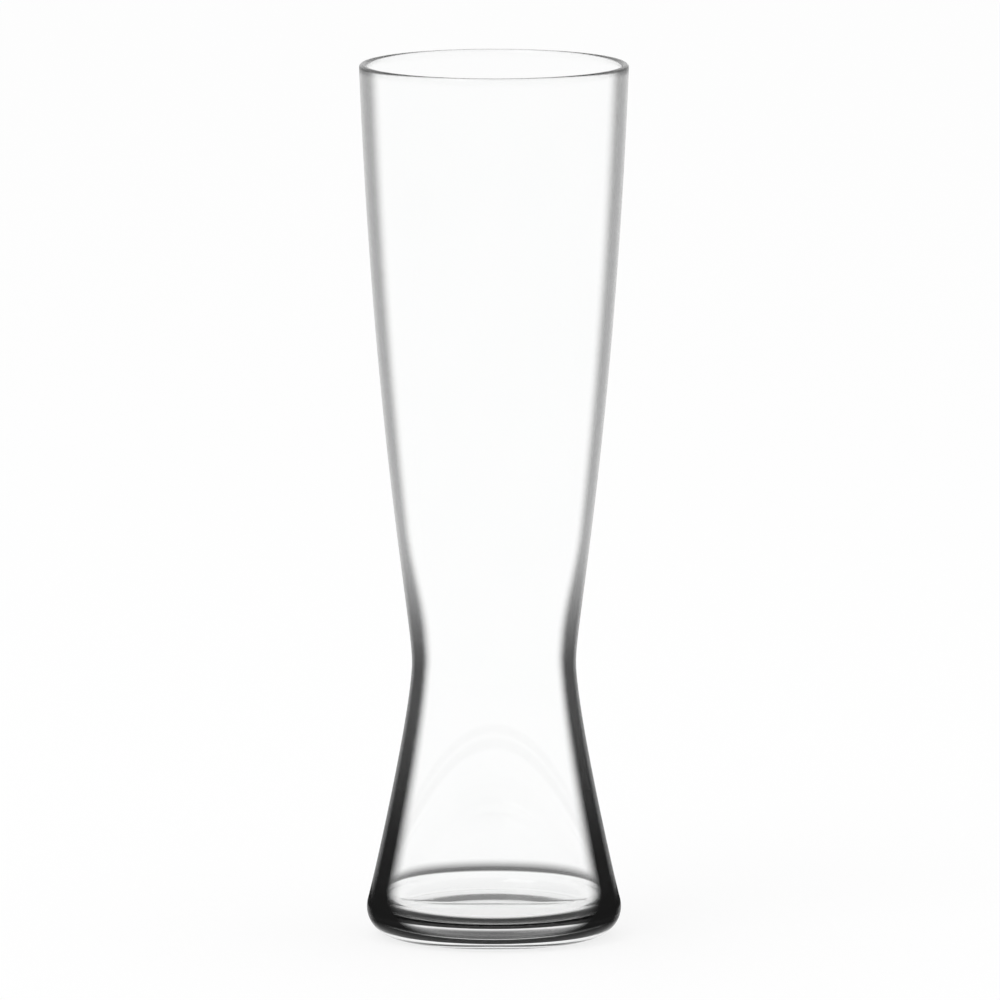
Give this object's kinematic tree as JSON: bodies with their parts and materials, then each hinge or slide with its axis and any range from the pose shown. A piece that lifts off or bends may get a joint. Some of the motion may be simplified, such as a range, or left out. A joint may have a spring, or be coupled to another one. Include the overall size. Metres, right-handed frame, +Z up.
{
  "type": "pilsner glass",
  "caption": "Tall clear drinking glass: a thin flared bowl narrows to a waist, then splays to a thick rounded foot that stands on a narrow ring.",
  "frame": {"origin": "on the axis of the glass, in the plane of the standing ring that rests on the table", "axes": "+Z up along the axis of the glass to the rim; X and Y lie on the table and are alike, as the glass is round"},
  "size_m": [0.076, 0.076, 0.248],
  "materials": {
    "bowl_glass": "clear, colourless, fire-polished",
    "foot_glass": "clear, colourless, polished, with light wear on the standing ring"
  },
  "bodies": {
    "root": {"bowl": "bowl_glass", "foot": "foot_glass"}
  },
  "joints": []
}
